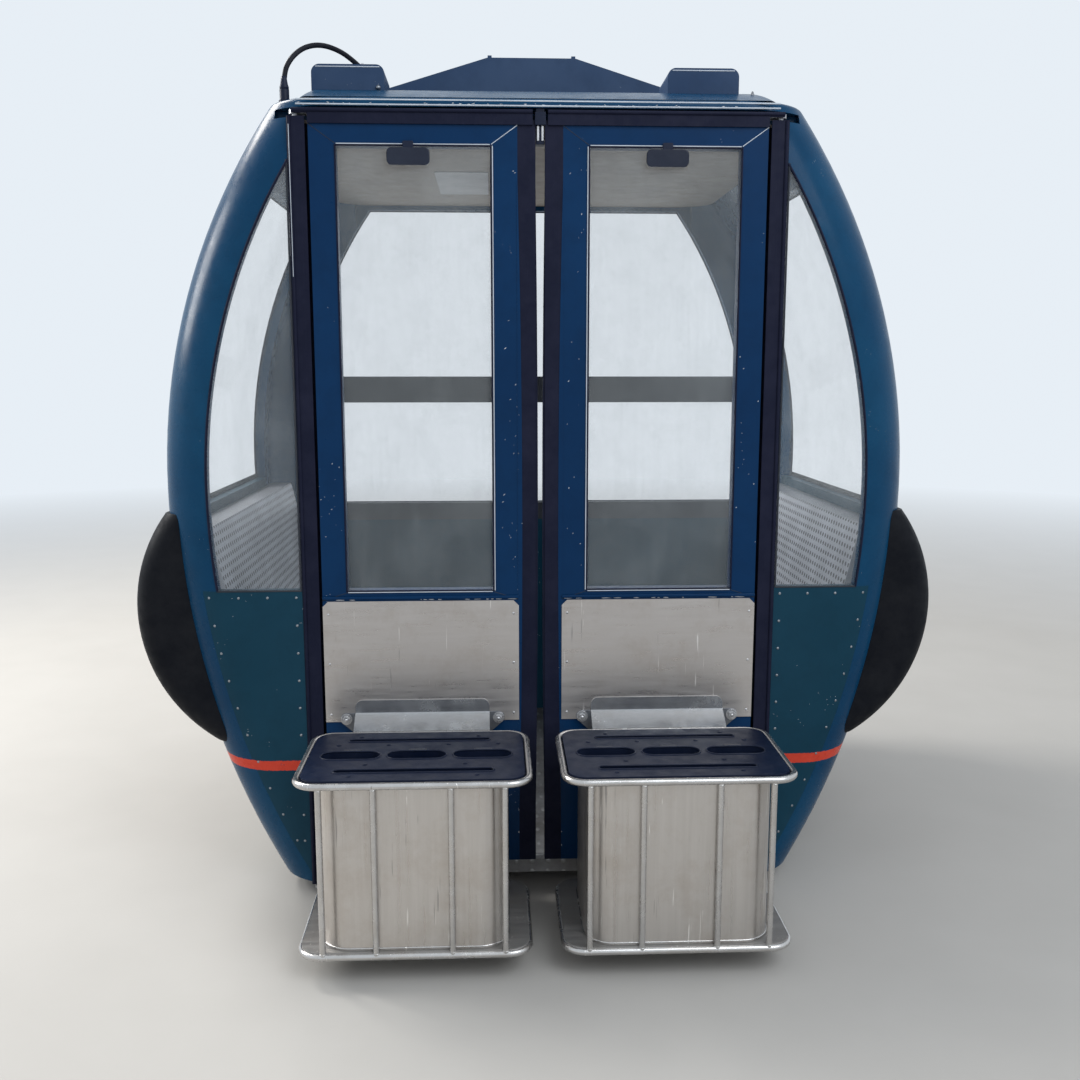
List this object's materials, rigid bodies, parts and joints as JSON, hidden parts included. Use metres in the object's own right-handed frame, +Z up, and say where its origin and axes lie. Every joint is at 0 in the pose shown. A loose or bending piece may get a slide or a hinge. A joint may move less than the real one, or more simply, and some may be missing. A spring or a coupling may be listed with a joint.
{
  "type": "gondola lift cabin",
  "caption": "Egg-shaped gondola lift cabin hung from a roof beam, with two swing-out door leaves that each carry a ski basket.",
  "frame": {"origin": "middle of the hanger's seat, on top of the roof beam", "axes": "+Z up, +X along the rope, -Y out of the door side"},
  "size_m": [2.1638, 1.83, 2.361],
  "materials": {
    "post_paint": "satin teal-blue paint",
    "door_paint": "satin deep blue paint",
    "panel_paint": "satin dark teal paint",
    "dark_trim": "matt dark grey paint",
    "clear_glass": "clear acrylic, scratched",
    "floor_metal": "dull",
    "galvanised_steel": "dull zinc",
    "ceiling_trim": "matt beige",
    "roof_metal": "matt blue-grey",
    "black_plastic": "matt",
    "black_rubber": "matt",
    "seat_plastic": "matt pale grey",
    "brushed_aluminium": "brushed, scratched",
    "stainless_steel": "satin"
  },
  "bodies": {
    "cabin": {"corner_post_front_left": "post_paint", "corner_post_front_right": "post_paint", "corner_post_rear_left": "post_paint", "corner_post_rear_right": "post_paint", "front_panel_left": "panel_paint", "front_panel_right": "panel_paint", "rear_panel": "panel_paint", "end_panel_left": "panel_paint", "end_panel_right": "panel_paint", "rear_sill": "dark_trim", "rear_bar": "dark_trim", "side_window_left": "clear_glass", "side_window_right": "clear_glass", "end_window_left": "clear_glass", "end_window_right": "clear_glass", "rear_window_lower": "clear_glass", "rear_window_upper": "clear_glass", "floor_pan": "floor_metal", "skid_rail_front": "galvanised_steel", "skid_rail_rear": "galvanised_steel", "roof_frame": "post_paint", "ceiling": "ceiling_trim", "roof_dome": "post_paint", "hanger_beam": "roof_metal", "vent_box_left": "roof_metal", "vent_box_right": "roof_metal", "cable_gland": "black_plastic", "roof_cable": "black_rubber", "door_jamb_left": "black_rubber", "door_jamb_right": "black_rubber", "bumper_left": "black_rubber", "bumper_right": "black_rubber", "seat_left": "seat_plastic", "seat_right": "seat_plastic", "seat_back_left": "seat_plastic", "seat_back_right": "seat_plastic"},
    "door_arms_left": {"door_arms_left": "galvanised_steel"},
    "door_leaf_left": {"door_frame_left": "door_paint", "door_glass_left": "clear_glass", "door_seal_left": "black_rubber", "kick_plate_left": "brushed_aluminium", "basket_cage_left": "stainless_steel", "basket_tray_left": "stainless_steel", "basket_liner_left": "brushed_aluminium", "basket_top_left": "black_plastic", "basket_bracket_left": "stainless_steel"},
    "door_arms_right": {"door_arms_right": "galvanised_steel"},
    "door_leaf_right": {"door_frame_right": "door_paint", "door_glass_right": "clear_glass", "door_seal_right": "black_rubber", "kick_plate_right": "brushed_aluminium", "basket_cage_right": "stainless_steel", "basket_tray_right": "stainless_steel", "basket_liner_right": "brushed_aluminium", "basket_top_right": "black_plastic", "basket_bracket_right": "stainless_steel"}
  },
  "joints": [
    {"name": "door_swing_left", "type": "hinge", "parent": "cabin", "child": "door_arms_left", "pos_m": [-0.604, -0.682, -1.31], "axis": [0, 0, -1], "range_deg": [0, 165]},
    {"name": "door_level_left", "type": "hinge", "parent": "door_arms_left", "child": "door_leaf_left", "pos_m": [-0.32418, -0.672, -1.31], "axis": [0, 0, -1], "range_deg": [-165, 0]},
    {"name": "door_swing_right", "type": "hinge", "parent": "cabin", "child": "door_arms_right", "pos_m": [0.604, -0.682, -1.31], "axis": [0, 0, 1], "range_deg": [0, 165]},
    {"name": "door_level_right", "type": "hinge", "parent": "door_arms_right", "child": "door_leaf_right", "pos_m": [0.32418, -0.672, -1.31], "axis": [0, 0, 1], "range_deg": [-165, 0]}
  ],
  "couplings": [
    {"joint": "door_level_left", "follows": "door_swing_left", "ratio": -1},
    {"joint": "door_level_right", "follows": "door_swing_right", "ratio": -1}
  ]
}
